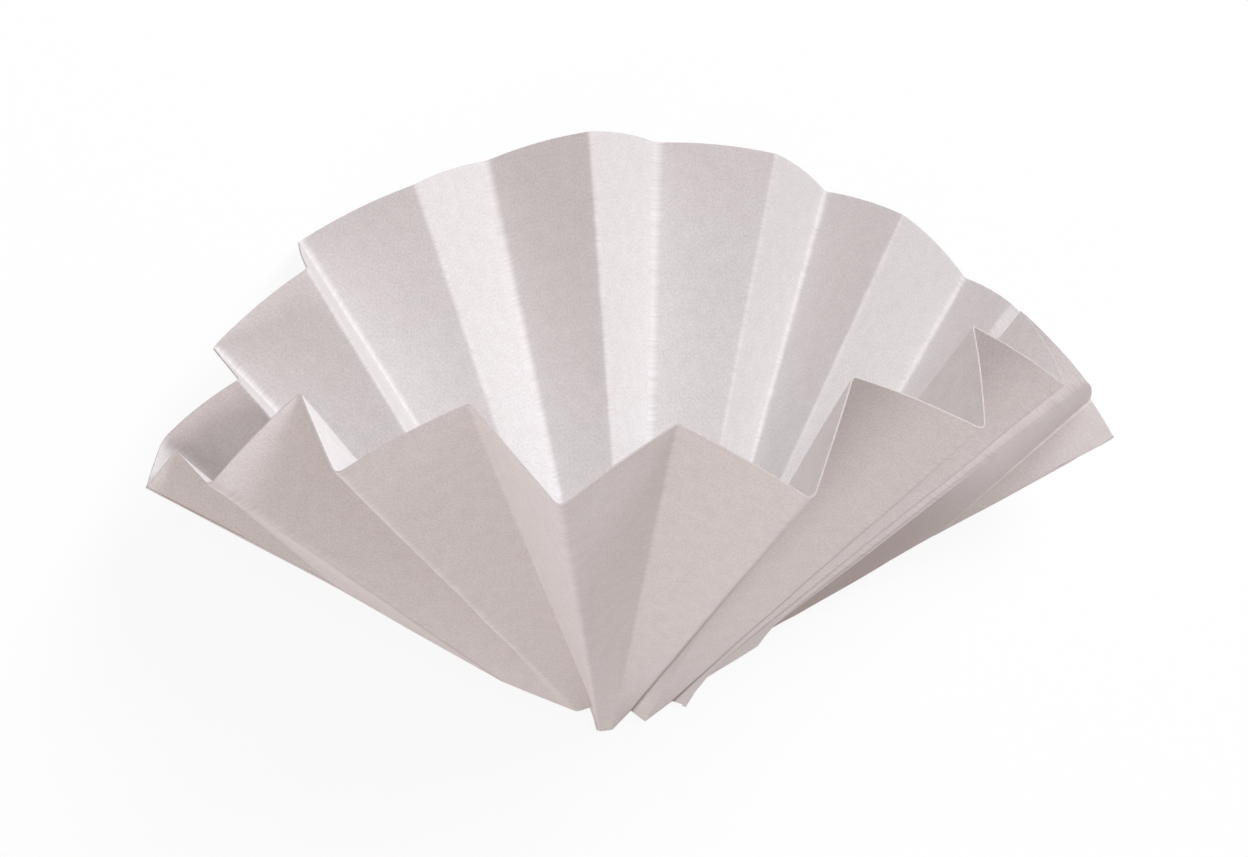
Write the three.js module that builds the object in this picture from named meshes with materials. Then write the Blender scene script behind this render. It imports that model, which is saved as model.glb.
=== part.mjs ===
// Folded filter paper, in mm, with +Z up. One round sheet is folded in half on its diameter, and the half
// disc is pleated like a fan into sixteen double panels. The paper is opened a little, and it lies on the
// folds of its back layer with its mouth towards +Y and up.
import * as THREE from "three";

// Sheet
const DISC_DIAMETER = 150;
const PAPER_THICKNESS = 0.18;
// The pleat lines aim at a point this far beyond the middle of the diameter fold
const PLEAT_AIM = 9;

// Rounding of the pleats: how far each side of a fold line is bent, at the rim and at the foot
const OUTER_FOLD_WIDTH = 1.2;
const INNER_FOLD_WIDTH = 0.6;
const FOOT_FOLD_WIDTH = 0.6;
// Air between the two layers in the bend of the diameter fold
const FOLD_GAP = 0.03;

// The diameter fold from its left corner to its right one, a zigzag through the foot of each pleat line.
// Only its shape counts, because it is scaled to the sheet's diameter.
const KEEL = [
  [-60, -7.5, 14],
  [-36.2, -19.3, 6],
  [-15.5, -31, 3.5],
  [-7.6, -34.2, 2.3],
  [-5.6, -35, 2],
  [-3.4, -34.4, 2],
  [-2.5, -37.6, 0.5],
  [-0.8, -37.5, 0.5],
  [1.8, -35.1, 0.2],
  [3.6, -36.6, 0.2],
  [7.2, -34.1, 0.2],
  [9, -34.8, 0.2],
  [8.6, -32.9, 1.2],
  [18.5, -27.2, 1.5],
  [19, -25.7, 2.2],
  [41, -13.5, 7.5],
  [61.5, -2, 17],
].map(([x, y, z]) => new THREE.Vector3(x, y, z));

// Where the outer folds point from their feet, in degrees: the heading from +Y towards +X, and the rise.
// The front layer's outer folds are at the even feet, and the back layer's at the odd ones.
const FRONT_OUTER = [
  [-60, 31],
  [-55, 45],
  [-40, 63.5],
  [3, 72],
  [32, 60.3],
  [44, 44],
  [48.5, 32],
];
const BACK_OUTER = [
  [-50.5, 9],
  [-45, 5.5],
  [-32, -1],
  [-11.5, -1],
  [2.5, 0],
  [17.5, -1],
  [32, 0],
  [46.5, 13.5],
];

// Unevenness of the pleating: how far a line is off its even place on the rim, in degrees
const RIM_DRIFT = { 3: 0.5, 4: 0.5, 6: -0.5, 10: -0.5, 11: -0.5, 13: -1.5 };
// How far a foot is tucked in from the diameter
const FOOT_TUCK = { 5: 0.5, 8: 1.6, 10: 1.6, 12: 0.5 };

// Mesh density: strips of a panel and of a fold, and the rows from the diameter fold to the rim
const PANEL_STRIPS = 3;
const FOLD_STRIPS = 4;
const BEND_ROWS = 2;
const ROW_PLACES = [0.04, 0.14, 0.32, 0.54, 0.77, 1];

const RADIUS = DISC_DIAMETER / 2;
const PANELS = KEEL.length - 1;

// Keel scaled to the sheet, and the place of each foot along the diameter
const segments = KEEL.slice(1).map((point, i) => point.distanceTo(KEEL[i]));
const keelScale = DISC_DIAMETER / segments.reduce((sum, length) => sum + length, 0);
const feet = KEEL.map((point) => point.clone().multiplyScalar(keelScale));
const footAlong = [-RADIUS];
for (const length of segments) {
  footAlong.push(footAlong[footAlong.length - 1] + length * keelScale);
}

// Rim end of pleat line k on the flat half disc
function flatRim(k) {
  if (k === 0 || k === PANELS) {
    return new THREE.Vector2(k === 0 ? -RADIUS : RADIUS, 0);
  }
  const line = Math.PI * (1 - k / PANELS);
  const reach = PLEAT_AIM * Math.sin(line) + Math.sqrt(RADIUS ** 2 - (PLEAT_AIM * Math.cos(line)) ** 2);
  const even = Math.atan2(reach * Math.sin(line) - PLEAT_AIM, reach * Math.cos(line));
  const angle = even + THREE.MathUtils.degToRad(RIM_DRIFT[k] ?? 0);
  return new THREE.Vector2(RADIUS * Math.cos(angle), RADIUS * Math.sin(angle));
}

const rimFlat = feet.map((_, k) => flatRim(k));
const chord = rimFlat.map((point, k) => (k ? point.distanceTo(rimFlat[k - 1]) : 0));
const lineLength = rimFlat.map(
  (point, k) => point.distanceTo(new THREE.Vector2(footAlong[k], 0)) - (FOOT_TUCK[k] ?? 0),
);

function direction([heading, rise]) {
  const h = THREE.MathUtils.degToRad(heading);
  const r = THREE.MathUtils.degToRad(rise);
  return new THREE.Vector3(Math.sin(h) * Math.cos(r), Math.cos(h) * Math.cos(r), Math.sin(r));
}

// The point at three known distances from a, b and c, on the side of their plane that side says
function trilaterate(a, toA, b, toB, c, toC, side) {
  const ab = b.clone().sub(a);
  const span = ab.length();
  const ex = ab.divideScalar(span);
  const ac = c.clone().sub(a);
  const i = ex.dot(ac);
  const ey = ac.clone().addScaledVector(ex, -i).normalize();
  const j = ey.dot(ac);
  const ez = ex.clone().cross(ey);
  const x = (toA ** 2 - toB ** 2 + span ** 2) / (2 * span);
  const y = (toA ** 2 - toC ** 2 + i ** 2 + j ** 2) / (2 * j) - (i * x) / j;
  const z = Math.sqrt(Math.max(toA ** 2 - x ** 2 - y ** 2, 0));
  return a
    .clone()
    .addScaledVector(ex, x)
    .addScaledVector(ey, y)
    .addScaledVector(ez, side * z);
}

// Rim ends of one layer's pleat lines: the outer ones from their directions, the inner ones so that both
// panels beside them keep their flat width
function rimEnds(outer, firstOuter, side) {
  const ends = feet.map((foot) => foot.clone());
  outer.forEach((angles, i) => {
    const k = firstOuter + 2 * i;
    ends[k].addScaledVector(direction(angles), lineLength[k]);
  });
  for (let k = 3 - firstOuter; k < PANELS; k += 2) {
    ends[k] = trilaterate(
      ends[k - 1],
      chord[k],
      ends[k + 1],
      chord[k + 1],
      feet[k],
      lineLength[k],
      side,
    );
  }
  return ends;
}

const layers = [
  { ends: rimEnds(FRONT_OUTER, 2, 1), firstOuter: 2 },
  { ends: rimEnds(BACK_OUTER, 1, -1), firstOuter: 1 },
];

// Point of pleat line k at the share v of its length
function onLine(layer, k, v) {
  return feet[k].clone().lerp(layer.ends[k], v);
}

// Point of panel k, between lines k - 1 and k; its rim is an arc of the disc
function onPanel(layer, k, u, v) {
  const outwards = layer.ends[k - 1].clone().add(layer.ends[k]).sub(feet[k - 1]).sub(feet[k]).normalize();
  const rise = RADIUS - Math.sqrt(RADIUS ** 2 - (chord[k] / 2) ** 2);
  return onLine(layer, k - 1, v)
    .lerp(onLine(layer, k, v), u)
    .addScaledVector(outwards, 4 * rise * u * (1 - u) * v);
}

// Share of panel k's width that the fold on its line takes up at v
function foldShare(layer, k, line, v) {
  if (line === 0 || line === PANELS) {
    return 0;
  }
  const isOuter = (line - layer.firstOuter) % 2 === 0;
  const atRim = isOuter ? OUTER_FOLD_WIDTH : INNER_FOLD_WIDTH;
  const atFoot = (FOOT_FOLD_WIDTH * lineLength[line]) / rimFlat[line].y;
  const width = (panel) => onLine(layer, panel, v).distanceTo(onLine(layer, panel - 1, v));
  const wanted = THREE.MathUtils.lerp(atFoot, atRim, v);
  return Math.min(wanted, 0.35 * Math.min(width(line), width(line + 1))) / width(k);
}

// Columns across the sheet: strips of a panel, then the bend of the fold after it
const columns = [];
for (let k = 1; k <= PANELS; k += 1) {
  for (let i = 0; i <= PANEL_STRIPS; i += 1) {
    columns.push({ k, across: i / PANEL_STRIPS });
  }
  if (k < PANELS) {
    for (let i = 1; i < FOLD_STRIPS; i += 1) {
      columns.push({ k, bend: i / FOLD_STRIPS });
    }
  }
}

function bezier(a, b, c, t) {
  return a
    .clone()
    .multiplyScalar((1 - t) ** 2)
    .addScaledVector(b, 2 * t * (1 - t))
    .addScaledVector(c, t ** 2);
}

function onColumn(layer, { k, across, bend }, v) {
  if (bend === undefined) {
    const from = foldShare(layer, k, k - 1, v);
    const to = 1 - foldShare(layer, k, k, v);
    return onPanel(layer, k, THREE.MathUtils.lerp(from, to, across), v);
  }
  const before = onPanel(layer, k, 1 - foldShare(layer, k, k, v), v);
  const after = onPanel(layer, k + 1, foldShare(layer, k + 1, k, v), v);
  return bezier(before, onLine(layer, k, v), after, bend);
}

const keelLine = columns.map((column) => onColumn(layers[0], column, 0));
const LAST = columns.length - 1;

// At column j, square to the diameter fold: the way into the sheet, and the way from the back layer to the
// front one
function axesAt(j) {
  const near = THREE.MathUtils.clamp(j, 1, LAST - 1);
  const [front, back] = layers.map((layer) => onColumn(layer, columns[near], ROW_PLACES[1]));
  const along = keelLine[Math.min(j + 1, LAST)].clone().sub(keelLine[Math.max(j - 1, 0)]).normalize();
  const inwards = front.clone().add(back).addScaledVector(keelLine[near], -2);
  inwards.addScaledVector(along, -inwards.dot(along)).normalize();
  const across = along.cross(inwards);
  return { inwards, across: across.multiplyScalar(Math.sign(across.dot(front.sub(back)))) };
}

// Middle surface: rows from the back layer's rim over the diameter fold to the front layer's rim. The fold
// is a half circle, and from there both layers stay at least its width apart.
const ROWS = BEND_ROWS + ROW_PLACES.length;
const BEND_RADIUS = (PAPER_THICKNESS + FOLD_GAP) / 2;
const points = [];

function gridPoint(j, row) {
  const { inwards, across } = axesAt(j);
  if (Math.abs(row) <= BEND_ROWS || j === 0 || j === LAST) {
    const angle = (THREE.MathUtils.clamp(row / BEND_ROWS, -1, 1) * Math.PI) / 2;
    return keelLine[j]
      .clone()
      .addScaledVector(inwards, BEND_RADIUS * (1 - Math.cos(angle)))
      .addScaledVector(across, BEND_RADIUS * Math.sin(angle));
  }
  const place = ROW_PLACES[Math.abs(row) - BEND_ROWS - 1];
  const [front, back] = layers.map((layer) => {
    const reach = onColumn(layer, columns[j], 1).sub(keelLine[j]).dot(inwards);
    const first = BEND_RADIUS / Math.max(reach, 20 * BEND_RADIUS);
    return onColumn(layer, columns[j], THREE.MathUtils.lerp(first, 1, place));
  });
  const apart = Math.max(front.clone().sub(back).dot(across), 0);
  const push = Math.max(BEND_RADIUS - apart / 2, 0);
  return row > 0 ? front.addScaledVector(across, push) : back.addScaledVector(across, -push);
}

const grid = columns.map((_, j) => {
  const isCorner = j === 0 || j === LAST;
  const ids = [];
  for (let row = -ROWS; row <= ROWS; row += 1) {
    const isRepeat = isCorner && (row > BEND_ROWS || (row > -ROWS && row <= -BEND_ROWS));
    if (!isRepeat) {
      points.push(gridPoint(j, row));
    }
    ids.push(points.length - 1);
  }
  return ids;
});

const faces = [];
for (let j = 1; j < grid.length; j += 1) {
  for (let r = 1; r < grid[j].length; r += 1) {
    const [a, b, c, d] = [grid[j - 1][r - 1], grid[j][r - 1], grid[j][r], grid[j - 1][r]];
    for (const face of [[a, b, c], [a, c, d]]) {
      if (new Set(face).size === 3) {
        faces.push(face);
      }
    }
  }
}

// Direction and length of the offset at each point, so that both skins are half a thickness away
function offsets() {
  const sums = points.map(() => new THREE.Vector3());
  const shares = points.map(() => []);
  for (const face of faces) {
    const [a, b, c] = face.map((id) => points[id]);
    const normal = b.clone().sub(a).cross(c.clone().sub(a)).normalize();
    face.forEach((id, i) => {
      const to = points[face[(i + 1) % 3]].clone().sub(points[id]);
      const angle = to.angleTo(points[face[(i + 2) % 3]].clone().sub(points[id]));
      sums[id].addScaledVector(normal, angle);
      shares[id].push([normal, angle]);
    });
  }
  return sums.map((sum, id) => {
    const normal = sum.normalize();
    const total = shares[id].reduce((all, [, angle]) => all + angle, 0);
    const lean = shares[id].reduce((all, [other, angle]) => all + other.dot(normal) * angle, 0) / total;
    return normal.clone().multiplyScalar(PAPER_THICKNESS / 2 / Math.max(lean, 0.6));
  });
}

const offset = offsets();
const outside = points.map((point, id) => point.clone().sub(offset[id]));
const inside = points.map((point, id) => point.clone().add(offset[id]));

// The part stands on z = 0, with the middle of its length and depth at the origin
const box = new THREE.Box3().setFromPoints([...outside, ...inside]);
const origin = box.getCenter(new THREE.Vector3()).setZ(box.min.z);

// Both skins, joined along the cut rim
const vertices = [...outside, ...inside].flatMap((point) => point.sub(origin).toArray());
const skin = points.length;
const triangles = [];
for (const [a, b, c] of faces) {
  triangles.push(a, c, b);
  triangles.push(skin + a, skin + b, skin + c);
}
const rim = [
  ...grid.map((ids) => ids[ids.length - 1]),
  ...grid[LAST].toReversed(),
  ...grid.map((ids) => ids[0]).toReversed(),
  ...grid[0],
].filter((id, i, all) => id !== all[(i + 1) % all.length]);
rim.forEach((a, i) => {
  const b = rim[(i + 1) % rim.length];
  triangles.push(a, skin + a, b);
  triangles.push(b, skin + a, skin + b);
});

const geometry = new THREE.BufferGeometry();
geometry.setAttribute("position", new THREE.Float32BufferAttribute(vertices, 3));
geometry.setIndex(triangles);
geometry.computeVertexNormals();

const paper = new THREE.MeshStandardMaterial({ color: 0xe0d9d8, roughness: 0.92, metalness: 0 });
const sheet = new THREE.Mesh(geometry, paper);
sheet.name = "filter_paper";

const part = new THREE.Group();
part.name = "folded_filter_paper";
part.add(sheet);

export default part;
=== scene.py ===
import math

import bpy
import numpy as np
from mathutils import Matrix, Vector


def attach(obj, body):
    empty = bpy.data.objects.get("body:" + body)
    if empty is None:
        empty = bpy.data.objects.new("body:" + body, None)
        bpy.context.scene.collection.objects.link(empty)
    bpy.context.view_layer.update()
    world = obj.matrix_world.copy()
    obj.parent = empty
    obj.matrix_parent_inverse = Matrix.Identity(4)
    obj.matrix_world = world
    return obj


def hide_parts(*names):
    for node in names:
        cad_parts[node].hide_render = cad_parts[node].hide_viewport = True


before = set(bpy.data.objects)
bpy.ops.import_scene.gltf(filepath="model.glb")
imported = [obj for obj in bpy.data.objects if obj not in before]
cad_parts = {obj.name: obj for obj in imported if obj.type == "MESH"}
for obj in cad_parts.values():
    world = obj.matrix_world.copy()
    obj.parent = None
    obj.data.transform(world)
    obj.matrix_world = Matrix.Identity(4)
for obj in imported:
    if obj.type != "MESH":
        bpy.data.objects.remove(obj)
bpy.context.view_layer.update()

# Sizes in mm, angles in degrees. The same round sheet, folds and lie as the CAD node.
DISC_DIAMETER = 150.0
PAPER_THICKNESS = 0.18
# The pleat lines aim at a point this far beyond the middle of the diameter fold
PLEAT_AIM = 9.0
# Feet of the pleat lines along the diameter fold, from the left end to the right
KEEL = [
    (-60, -7.5, 14), (-36.2, -19.3, 6), (-15.5, -31, 3.5), (-7.6, -34.2, 2.3), (-5.6, -35, 2),
    (-3.4, -34.4, 2), (-2.5, -37.6, 0.5), (-0.8, -37.5, 0.5), (1.8, -35.1, 0.2), (3.6, -36.6, 0.2),
    (7.2, -34.1, 0.2), (9, -34.8, 0.2), (8.6, -32.9, 1.2), (18.5, -27.2, 1.5), (19, -25.7, 2.2),
    (41, -13.5, 7.5), (61.5, -2, 17),
]
# Heading from +Y towards +X, and rise, of each outer fold of the two layers
FRONT_OUTER = [(-60, 31), (-55, 45), (-40, 63.5), (3, 72), (32, 60.3), (44, 44), (48.5, 32)]
BACK_OUTER = [(-50.5, 9), (-45, 5.5), (-32, -1), (-11.5, -1), (2.5, 0), (17.5, -1), (32, 0), (46.5, 13.5)]
# Pleat lines whose rim end lies off its even place, and those taken up at the foot
RIM_DRIFT = {3: 0.5, 4: 0.5, 6: -0.5, 10: -0.5, 11: -0.5, 13: -1.5}
FOOT_TUCK = {5: 0.5, 8: 1.6, 10: 1.6, 12: 0.5}
# The frame's origin in the sizes above
ORIGIN = np.array((0.768, -0.127, -0.634))
# How far each kind of fold rounds into the panel beside it, and the most of a panel's width it takes
OUTER_FOLD, INNER_FOLD, FOOT_FOLD = 1.2, 0.5, 0.2
FOLD_LIMIT = 0.35
# Radius of the diameter fold's own bend
BEND_RADIUS = 0.105
# Mesh strips across a panel and across a fold, and rows in half the bend and up a layer
PANEL_STRIPS, FOLD_STRIPS, BEND_ROWS, ROWS = 12, 8, 3, 46
# Rows crowd towards the diameter fold by this power
ROW_CROWDING = 1.35
# Share of the way to the rim at which the two layers' directions are read
AXES_AT = 0.14
MM = 0.001

# Painted shade, 0 none to 1 darkest: the back layer darker towards its rim, and the whole front layer
# darker
RIM_PAINTED_SHADE, FRONT_PAINTED_SHADE = 0.14, 0.08
# Painted shade as dark lines along the front folds that lie tight on the layer under them, and how dark
# each line is. The dark line's half width is in mm, and it fades towards the rim by a power.
PAINTED_CREASE_SHADE = {2: 0.5, 8: 0.9, 10: 1.0, 12: 0.7, 14: 0.6}
CREASE_SHADE_WIDTH, CREASE_SHADE_FADE = 0.34, 0.6
# Painted shadow on the front panels at the right end, darkest near one foot: reach in mm, and how sharply
# it ends
CORNER_SHADOW_FOOT, CORNER_PAINTED_SHADOW = 14, 0.62
CORNER_SHADOW_PANELS = {15: (34.0, 6), 16: (61.0, 2)}

R = DISC_DIAMETER / 2
N = len(KEEL) - 1
FRONT = slice(BEND_ROWS + ROWS, None)


def unit(v):
    return v / np.linalg.norm(v)


keel = np.array(KEEL, float)
seg = np.linalg.norm(np.diff(keel, axis=0), axis=1)
scale = DISC_DIAMETER / seg.sum()
keel *= scale
along = np.concatenate([[-R], -R + np.cumsum(seg * scale)])


def flat_rim(k):
    """Rim end of pleat line k on the flat disc."""
    if k in (0, N):
        return np.array((-R if k == 0 else R, 0.0))
    line = math.pi * (1 - k / N)
    reach = PLEAT_AIM * math.sin(line) + math.sqrt(R**2 - (PLEAT_AIM * math.cos(line)) ** 2)
    even = math.atan2(reach * math.sin(line) - PLEAT_AIM, reach * math.cos(line))
    angle = even + math.radians(RIM_DRIFT.get(k, 0))
    return np.array((R * math.cos(angle), R * math.sin(angle)))


rim_flat = np.array([flat_rim(k) for k in range(N + 1)])
foot_flat = np.stack([along, np.zeros(N + 1)], 1)
chord = np.concatenate([[0], np.linalg.norm(np.diff(rim_flat, axis=0), axis=1)])
length = np.linalg.norm(rim_flat - foot_flat, axis=1)
length -= np.array([FOOT_TUCK.get(k, 0) for k in range(N + 1)])


def trilaterate(a, to_a, b, to_b, c, to_c, side):
    """The point at three known distances from a, b and c, on one side of their plane."""
    span = np.linalg.norm(b - a)
    ex = (b - a) / span
    i = ex @ (c - a)
    ey = unit(c - a - i * ex)
    j = ey @ (c - a)
    x = (to_a**2 - to_b**2 + span**2) / (2 * span)
    y = (to_a**2 - to_c**2 + i**2 + j**2) / (2 * j) - i * x / j
    z = math.sqrt(max(to_a**2 - x**2 - y**2, 0))
    return a + x * ex + y * ey + side * z * np.cross(ex, ey)


def rim_ends(outer, first, side):
    """Rim ends of a layer: outer folds by direction, inner ones by the flat widths beside them."""
    ends = keel.copy()
    for i, (heading, rise) in enumerate(outer):
        h, r = math.radians(heading), math.radians(rise)
        way = np.array((math.sin(h) * math.cos(r), math.cos(h) * math.cos(r), math.sin(r)))
        ends[first + 2 * i] += length[first + 2 * i] * way
    for k in range(3 - first, N, 2):
        ends[k] = trilaterate(
            ends[k - 1], chord[k], ends[k + 1], chord[k + 1], keel[k], length[k], side
        )
    return ends


# Front and back layer: the rim ends, and the number of the first outer fold
LAYERS = ((rim_ends(FRONT_OUTER, 2, 1), 2), (rim_ends(BACK_OUTER, 1, -1), 1))


def on_line(ends, k, v):
    """Points on pleat line k; v is 0 at the foot and 1 at the rim."""
    return keel[k] + (ends[k] - keel[k]) * v[:, None]


def on_panel(layer, k, u, v):
    """Points on the panel between lines k - 1 and k, whose rim is an arc of the disc."""
    ends = layer[0]
    out = unit(ends[k - 1] + ends[k] - keel[k - 1] - keel[k])
    rise = R - math.sqrt(R**2 - (chord[k] / 2) ** 2)
    p = on_line(ends, k - 1, v) * (1 - u)[:, None] + on_line(ends, k, v) * u[:, None]
    return p + out * (4 * rise * u * (1 - u) * v)[:, None]


def fold_share(layer, k, line, v):
    """Share of panel k's width that the rounding of the fold at a line takes."""
    if line in (0, N):
        return np.zeros(len(v))
    ends, first = layer
    at_rim = OUTER_FOLD if (line - first) % 2 == 0 else INNER_FOLD
    at_foot = FOOT_FOLD * length[line] / rim_flat[line][1]
    width = [
        np.linalg.norm(on_line(ends, p, v) - on_line(ends, p - 1, v), axis=1) for p in (line, line + 1)
    ]
    wanted = at_foot + (at_rim - at_foot) * v
    return np.minimum(wanted, FOLD_LIMIT * np.minimum(*width)) / width[k - line]


# Each column runs from foot to rim: panel, place across it, or place within the fold after it
columns = []
for k in range(1, N + 1):
    columns += [(k, i / PANEL_STRIPS, None) for i in range(PANEL_STRIPS + 1)]
    if k < N:
        columns += [(k, None, i / FOLD_STRIPS) for i in range(1, FOLD_STRIPS)]
LAST = len(columns) - 1


def on_column(layer, column, v):
    """Points on a column of a layer, across a flat panel or round a fold."""
    k, across, bend = column
    v = np.atleast_1d(v)
    if bend is None:
        a = fold_share(layer, k, k - 1, v)
        b = 1 - fold_share(layer, k, k, v)
        return on_panel(layer, k, a + (b - a) * across, v)
    before = on_panel(layer, k, 1 - fold_share(layer, k, k, v), v)
    after = on_panel(layer, k + 1, fold_share(layer, k + 1, k, v), v)
    return before * (1 - bend) ** 2 + on_line(layer[0], k, v) * 2 * bend * (1 - bend) + after * bend**2


keel_line = np.array([on_column(LAYERS[0], c, 0.0)[0] for c in columns])


def axes_at(j):
    """Unit directions at the diameter fold: into the layers, and from the back one to the front."""
    near = min(max(j, 1), LAST - 1)
    front, back = [on_column(layer, columns[near], AXES_AT)[0] for layer in LAYERS]
    way = unit(keel_line[min(j + 1, LAST)] - keel_line[max(j - 1, 0)])
    inwards = front + back - 2 * keel_line[near]
    inwards = unit(inwards - inwards @ way * way)
    across = np.cross(way, inwards)
    return inwards, across * np.sign(across @ (front - back))


places = np.linspace(0, 1, ROWS + 1)[1:] ** ROW_CROWDING


def column_points(j):
    """One column of the middle surface, from the back layer's rim to the front layer's rim."""
    inwards, across = axes_at(j)
    t = np.radians(np.linspace(-90, 90, 2 * BEND_ROWS + 1))[:, None]
    bend = keel_line[j] + inwards * BEND_RADIUS * (1 - np.cos(t)) + across * BEND_RADIUS * np.sin(t)
    if j in (0, LAST):
        return np.vstack([np.repeat(bend[:1], ROWS, 0), bend, np.repeat(bend[-1:], ROWS, 0)])
    sides = []
    for layer in LAYERS:
        reach = (on_column(layer, columns[j], 1.0)[0] - keel_line[j]) @ inwards
        first = BEND_RADIUS / max(reach, 20 * BEND_RADIUS)
        sides.append(on_column(layer, columns[j], first + (1 - first) * places))
    front, back = sides
    apart = np.maximum((front - back) @ across, 0)
    push = across * np.maximum(BEND_RADIUS - apart / 2, 0)[:, None]
    return np.vstack([(back - push)[::-1], bend, front + push])


def flat_points(j):
    """Where the same points lie on the flat disc, with the back layer below the diameter."""
    k, across, bend = columns[j]
    u = across if bend is None else 1.0
    foot = foot_flat[k - 1] * (1 - u) + foot_flat[k] * u
    rim = rim_flat[k - 1] * (1 - u) + rim_flat[k] * u
    v = np.concatenate([np.zeros(BEND_ROWS), [0.0], np.zeros(BEND_ROWS), places])[BEND_ROWS:]
    half = foot + (rim - foot) * v[:, None]
    return np.vstack([half[1:][::-1] * (1, -1), half])


points = np.array([column_points(j) for j in range(LAST + 1)])
flat = np.array([flat_points(j) for j in range(LAST + 1)])
height = points.shape[1]
ids = np.arange((LAST + 1) * height).reshape(LAST + 1, height)
quads = np.stack([ids[:-1, :-1], ids[1:, :-1], ids[1:, 1:], ids[:-1, 1:]], -1).reshape(-1, 4)


def painted_shade_map():
    """Painted shade at each point: darker back rim, darker front layer, dark creases and shadowed right
    end.
    """
    painted_shade = np.zeros(points.shape[:2])
    painted_shade[:, :ROWS] = RIM_PAINTED_SHADE * places[::-1] ** 2
    painted_shade[:, FRONT] = FRONT_PAINTED_SHADE
    centres = {c[0]: j for j, c in enumerate(columns) if c[2] == 0.5}
    for k, strength in PAINTED_CREASE_SHADE.items():
        middle = centres[k]
        near = slice(middle - FOLD_STRIPS, middle + FOLD_STRIPS + 1)
        away = np.linalg.norm(points[near, FRONT] - points[middle, FRONT], axis=2)
        fade = strength * np.linspace(1, 0, away.shape[1]) ** CREASE_SHADE_FADE
        crease_shade = fade * np.exp(-((away / CREASE_SHADE_WIDTH) ** 2))
        painted_shade[near, FRONT] = np.maximum(painted_shade[near, FRONT], crease_shade)
    for panel, (reach, power) in CORNER_SHADOW_PANELS.items():
        there = [j for j, c in enumerate(columns) if c[0] == panel]
        away = np.linalg.norm(points[there, FRONT] - keel[CORNER_SHADOW_FOOT], axis=2)
        corner_shadow = CORNER_PAINTED_SHADOW * np.exp(-((away / reach) ** power))
        painted_shade[there, FRONT] = np.maximum(painted_shade[there, FRONT], corner_shadow)
    return painted_shade


mesh = bpy.data.meshes.new("paper_middle")
mesh.from_pydata(((points.reshape(-1, 3) - ORIGIN) * MM).tolist(), [], quads.tolist())
uv = mesh.uv_layers.new(name="flat_disc")
loop_vertex = np.empty(len(mesh.loops), int)
mesh.loops.foreach_get("vertex_index", loop_vertex)
uv.data.foreach_set("uv", (flat.reshape(-1, 2)[loop_vertex] / DISC_DIAMETER + 0.5).ravel())
# Painted shade per point, read by the material
mesh.attributes.new("painted_shade", "FLOAT", "POINT").data.foreach_set("value", painted_shade_map().ravel())
sheet = bpy.data.objects.new("paper_sheet", mesh)
bpy.context.scene.collection.objects.link(sheet)


# Materials: the tone of a cut edge, and the share of the paper's light that comes through it
CUT_EDGE_TONE = 0.35
SEE_THROUGH = 0.13


def srgb(hex_code):
    """An sRGB hex colour as linear RGBA."""
    c = [int(hex_code[i : i + 2], 16) / 255 for i in (1, 3, 5)]
    return (*[x / 12.92 if x <= 0.04045 else ((x + 0.055) / 1.055) ** 2.4 for x in c], 1.0)


def add(tree, kind, inputs=None, **settings):
    """Adds a node, sets its properties, and links or sets its inputs by name or number."""
    node = tree.nodes.new(kind)
    for key, value in settings.items():
        setattr(node, key, value)
    for key, value in (inputs or {}).items():
        if isinstance(value, bpy.types.NodeSocket):
            tree.links.new(value, node.inputs[key])
        else:
            node.inputs[key].default_value = value
    return node


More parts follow.
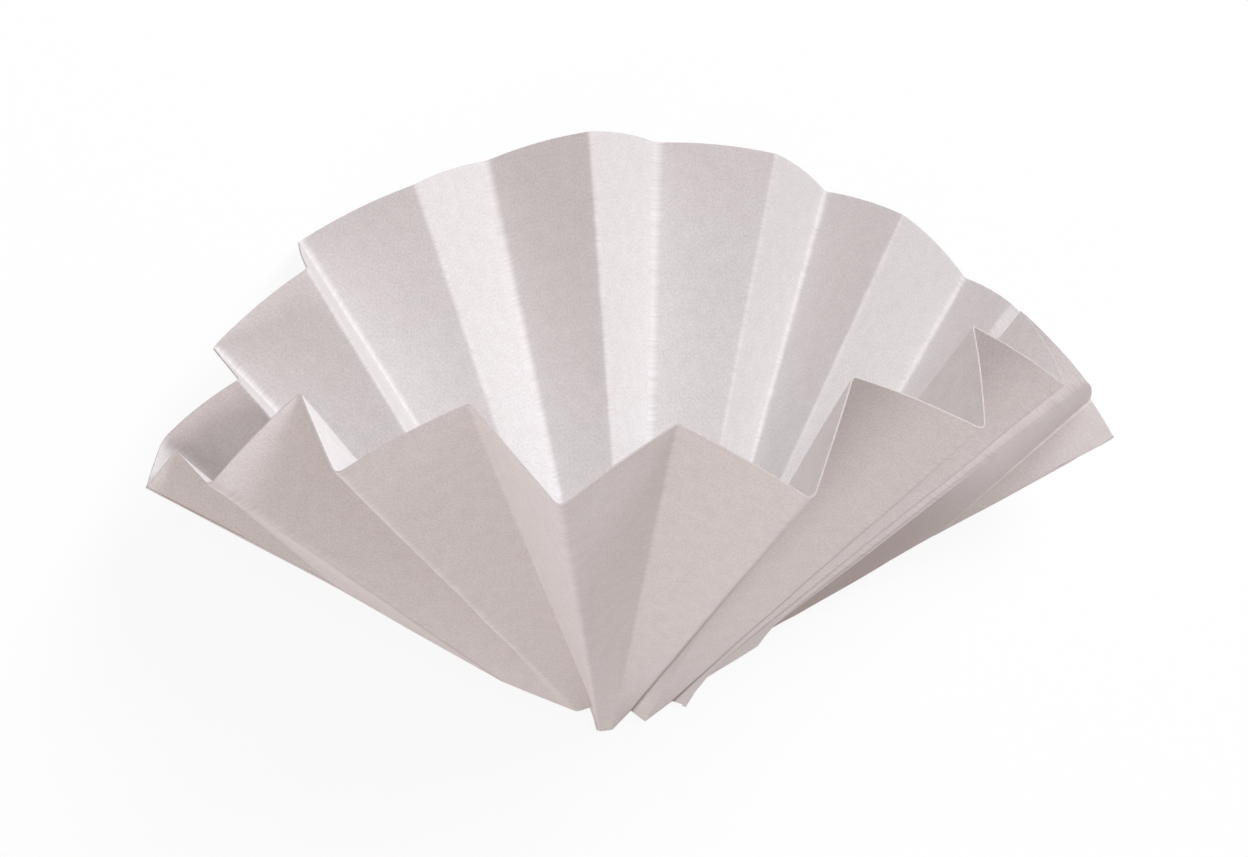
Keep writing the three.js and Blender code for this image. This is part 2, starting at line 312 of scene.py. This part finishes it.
def paper_material():
    """Soft uncoated filter paper, matt and a little see-through.

    Its felt is drawn as clumps of about 0.3 mm, coarser than the real fibres.
    """
    mat = bpy.data.materials.new("filter_paper_fibres")
    mat.use_nodes = True
    tree = mat.node_tree
    tree.nodes.clear()
    out = add(tree, "ShaderNodeOutputMaterial")
    uv_map = add(tree, "ShaderNodeUVMap", uv_map="flat_disc")
    in_mm = add(tree, "ShaderNodeVectorMath", {0: uv_map.outputs[0], 3: DISC_DIAMETER}, operation="SCALE")
    clouds = add(tree, "ShaderNodeTexNoise", {"Vector": in_mm.outputs[0], "Scale": 0.5, "Detail": 3.0})
    fibres = add(tree, "ShaderNodeTexNoise", {"Vector": in_mm.outputs[0], "Scale": 3.2, "Detail": 2.0})
    mixed = add(
        tree, "ShaderNodeMath",
        {0: clouds.outputs[0], 1: 0.35, 2: fibres.outputs[0]}, operation="MULTIPLY_ADD",
    )
    felt = add(tree, "ShaderNodeMapRange", {"Value": mixed.outputs[0], "From Min": 0.45, "From Max": 0.9})
    colour = add(
        tree, "ShaderNodeMix",
        {"Factor": felt.outputs[0], 6: srgb("#E9E5E4"), 7: srgb("#FAF8F7")}, data_type="RGBA",
    )
    # Painted shade: the stored shade and the darker cut edge mix the felt colour towards a pinkish grey
    painted_shade_input = add(tree, "ShaderNodeAttribute", attribute_name="painted_shade")
    cut = add(tree, "ShaderNodeAttribute", attribute_name="cut_edge")
    darker = add(
        tree, "ShaderNodeMath",
        {0: cut.outputs["Fac"], 1: CUT_EDGE_TONE, 2: painted_shade_input.outputs["Fac"]}, operation="MULTIPLY_ADD",
    )
    shaded = add(
        tree, "ShaderNodeMix",
        {"Factor": darker.outputs[0], 6: colour.outputs[2], 7: srgb("#9A8884")}, data_type="RGBA",
    )
    bump = add(
        tree, "ShaderNodeBump", {"Strength": 0.5, "Distance": 0.00006, "Height": fibres.outputs[0]}
    )
    surface = add(
        tree, "ShaderNodeBsdfPrincipled",
        {"Base Color": shaded.outputs[2], "Roughness": 0.92, "Normal": bump.outputs[0]},
    )
    surface.inputs["Specular IOR Level"].default_value = 0.15
    glow = add(
        tree, "ShaderNodeMix", {"Factor": 1.0, 6: shaded.outputs[2], 7: srgb("#F3DDD8")},
        data_type="RGBA", blend_type="MULTIPLY",
    )
    through = add(
        tree, "ShaderNodeBsdfTranslucent", {"Color": glow.outputs[2], "Normal": bump.outputs[0]}
    )
    mix = add(tree, "ShaderNodeMixShader", {0: SEE_THROUGH, 1: surface.outputs[0], 2: through.outputs[0]})
    tree.links.new(mix.outputs[0], out.inputs[0])
    return mat


paper = paper_material()


# Thickness and waviness
def thicken_tree():
    """Geometry nodes: gives the middle surface gentle waves and then the paper's thickness."""
    tree = bpy.data.node_groups.new("paper_from_middle", "GeometryNodeTree")
    face = tree.interface
    face.new_socket("Geometry", in_out="OUTPUT", socket_type="NodeSocketGeometry")
    face.new_socket("Geometry", in_out="INPUT", socket_type="NodeSocketGeometry")
    for name, kind in (
        ("Thickness", "NodeSocketFloat"), ("Wave height", "NodeSocketFloat"),
        ("Wave size", "NodeSocketFloat"), ("Seed", "NodeSocketFloat"), ("Material", "NodeSocketMaterial"),
    ):
        face.new_socket(name, in_out="INPUT", socket_type=kind)
    given = add(tree, "NodeGroupInput").outputs
    result = add(tree, "NodeGroupOutput")
    normal = add(tree, "GeometryNodeInputNormal").outputs[0]
    place = add(tree, "GeometryNodeInputPosition").outputs[0]
    per_metre = add(tree, "ShaderNodeMath", {0: 1.0, 1: given["Wave size"]}, operation="DIVIDE")
    waves = add(
        tree, "ShaderNodeTexNoise",
        {"Vector": place, "W": given["Seed"], "Scale": per_metre.outputs[0], "Detail": 1.5},
        noise_dimensions="4D",
    )
    centred = add(tree, "ShaderNodeMath", {0: waves.outputs[0], 1: 0.5}, operation="SUBTRACT")
    tall = add(
        tree, "ShaderNodeMath", {0: centred.outputs[0], 1: given["Wave height"]}, operation="MULTIPLY"
    )
    half = add(tree, "ShaderNodeMath", {0: given["Thickness"], 1: -0.5}, operation="MULTIPLY")
    shift = add(tree, "ShaderNodeMath", {0: tall.outputs[0], 1: half.outputs[0]}, operation="ADD")
    offset = add(tree, "ShaderNodeVectorMath", {0: normal, 3: shift.outputs[0]}, operation="SCALE")
    one_side = add(
        tree, "GeometryNodeSetPosition", {"Geometry": given["Geometry"], "Offset": offset.outputs[0]}
    )
    other = add(
        tree, "GeometryNodeExtrudeMesh",
        {"Mesh": one_side.outputs[0], "Offset Scale": given["Thickness"], "Individual": False},
        mode="FACES",
    )
    edged = add(
        tree, "GeometryNodeStoreNamedAttribute",
        {"Geometry": other.outputs[0], "Name": "cut_edge", "Value": other.outputs["Side"]},
        data_type="FLOAT", domain="FACE",
    )
    turned = add(tree, "GeometryNodeFlipFaces", {"Mesh": one_side.outputs[0]})
    joined = add(tree, "GeometryNodeJoinGeometry")
    tree.links.new(edged.outputs[0], joined.inputs[0])
    tree.links.new(turned.outputs[0], joined.inputs[0])
    closed = add(tree, "GeometryNodeMergeByDistance", {"Geometry": joined.outputs[0], "Distance": 1e-7})
    real = add(tree, "GeometryNodeRealizeInstances", {"Geometry": closed.outputs[0]})
    coloured = add(
        tree, "GeometryNodeSetMaterial", {"Geometry": real.outputs[0], "Material": given["Material"]}
    )
    tree.links.new(coloured.outputs[0], result.inputs[0])
    return tree


def apply_nodes(obj, tree, values):
    """Runs a geometry node tree on obj with the named inputs and keeps the result as a plain mesh."""
    modifier = obj.modifiers.new("shape", "NODES")
    modifier.node_group = tree
    for item in tree.interface.items_tree:
        if item.in_out == "INPUT" and item.name in values:
            modifier[item.identifier] = values[item.name]
    bpy.context.view_layer.update()
    made = bpy.data.meshes.new_from_object(obj.evaluated_get(bpy.context.evaluated_depsgraph_get()))
    obj.modifiers.remove(modifier)
    obj.data = made


apply_nodes(
    sheet, thicken_tree(),
    {
        "Thickness": PAPER_THICKNESS * MM, "Wave height": 0.5 * MM, "Wave size": 16 * MM, "Seed": 4.0,
        "Material": paper,
    },
)
sheet.data.shade_smooth()
sheet.data.set_sharp_from_angle(angle=math.radians(55))

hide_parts("filter_paper")
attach(sheet, "root")


# Floor, light and camera: the share of the floor's look that is its own even white
TABLE_WHITE = 0.9


def background_rays(tree):
    """1 for the rays that show the background itself: from the camera, mirrored or through glass."""
    path = add(tree, "ShaderNodeLightPath").outputs
    either = add(
        tree, "ShaderNodeMath", {0: path["Is Camera Ray"], 1: path["Is Glossy Ray"]}, operation="MAXIMUM"
    )
    return add(
        tree, "ShaderNodeMath", {0: either.outputs[0], 1: path["Is Transmission Ray"]}, operation="MAXIMUM"
    ).outputs[0]


def table_material():
    """White sweep: looks almost evenly white, and keeps a pale shadow."""
    mat = bpy.data.materials.new("white_table")
    mat.use_nodes = True
    tree = mat.node_tree
    tree.nodes.clear()
    matt = add(tree, "ShaderNodeBsdfDiffuse", {"Color": srgb("#F4F4F4")})
    glow = add(tree, "ShaderNodeEmission", {"Color": srgb("#FFFFFF"), "Strength": 1.0})
    share = add(tree, "ShaderNodeMath", {0: background_rays(tree), 1: TABLE_WHITE}, operation="MULTIPLY")
    mix = add(tree, "ShaderNodeMixShader", {0: share.outputs[0], 1: matt.outputs[0], 2: glow.outputs[0]})
    add(tree, "ShaderNodeOutputMaterial", {0: mix.outputs[0]})
    return mat


floor_mesh = bpy.data.meshes.new("floor")
floor_mesh.from_pydata([(-3, -3, 0), (3, -3, 0), (3, 3, 0), (-3, 3, 0)], [], [(0, 1, 2, 3)])
floor_mesh.materials.append(table_material())
floor = bpy.data.objects.new("floor", floor_mesh)
bpy.context.scene.collection.objects.link(floor)


def area_light(name, azimuth, elevation, size, power, colour):
    """A round soft light 1 m from the paper; azimuth in degrees from +X towards +Y."""
    a, e = math.radians(azimuth), math.radians(elevation)
    place = Vector((math.cos(a) * math.cos(e), math.sin(a) * math.cos(e), math.sin(e)))
    data = bpy.data.lights.new(name, "AREA")
    data.shape = "DISK"
    data.size = size
    data.energy = power
    data.color = srgb(colour)[:3]
    lamp = bpy.data.objects.new(name, data)
    lamp.location = place
    lamp.rotation_euler = (-place).to_track_quat("-Z", "Y").to_euler()
    bpy.context.scene.collection.objects.link(lamp)


area_light("key_behind_right", 60, 50, 0.5, 7.9, "#F3F9FF")
area_light("front_low_left", 225, 15, 0.5, 2.5, "#FFF8F8")
area_light("top", 0, 90, 0.5, 0.9, "#FFF6F5")

world = bpy.data.worlds.new("studio")
world.use_nodes = True
bpy.context.scene.world = world
tree = world.node_tree
tree.nodes.clear()
light = add(tree, "ShaderNodeBackground", {"Color": srgb("#FFF2EF"), "Strength": 0.42})
seen = add(tree, "ShaderNodeBackground", {"Color": srgb("#FFFFFF"), "Strength": 1.0})
shown = add(
    tree, "ShaderNodeMixShader", {0: background_rays(tree), 1: light.outputs[0], 2: seen.outputs[0]}
)
add(tree, "ShaderNodeOutputWorld", {0: shown.outputs[0]})

# The photo's camera: focal length and photo width in pixels, place in mm, and its own directions
FOCAL_PIXELS, PHOTO_WIDTH_PIXELS, SENSOR_WIDTH = 2937.0, 1248.0, 36.0
CAMERA_PLACE = (-97.57, -28.67, 362.0)
CAMERA_RIGHT = (0.96454, -0.02122, 0.26307)
CAMERA_BACK = (-0.26392, -0.07756, 0.96142)
camera_data = bpy.data.cameras.new("photo_camera")
camera_data.sensor_width = SENSOR_WIDTH
camera_data.lens = FOCAL_PIXELS / PHOTO_WIDTH_PIXELS * SENSOR_WIDTH
camera_data.clip_start = 0.01
camera_data.clip_end = 20.0
camera = bpy.data.objects.new("photo_camera", camera_data)
bpy.context.scene.collection.objects.link(camera)
right = Vector(CAMERA_RIGHT).normalized()
back = Vector(CAMERA_BACK).normalized()
up = back.cross(right).normalized()
turn = Matrix((right, up, back)).transposed().to_4x4()
place = Vector((CAMERA_PLACE - ORIGIN) * MM)
camera.matrix_world = Matrix.Translation(place) @ turn
bpy.context.scene.camera = camera
bpy.context.scene.view_settings.view_transform = "Standard"
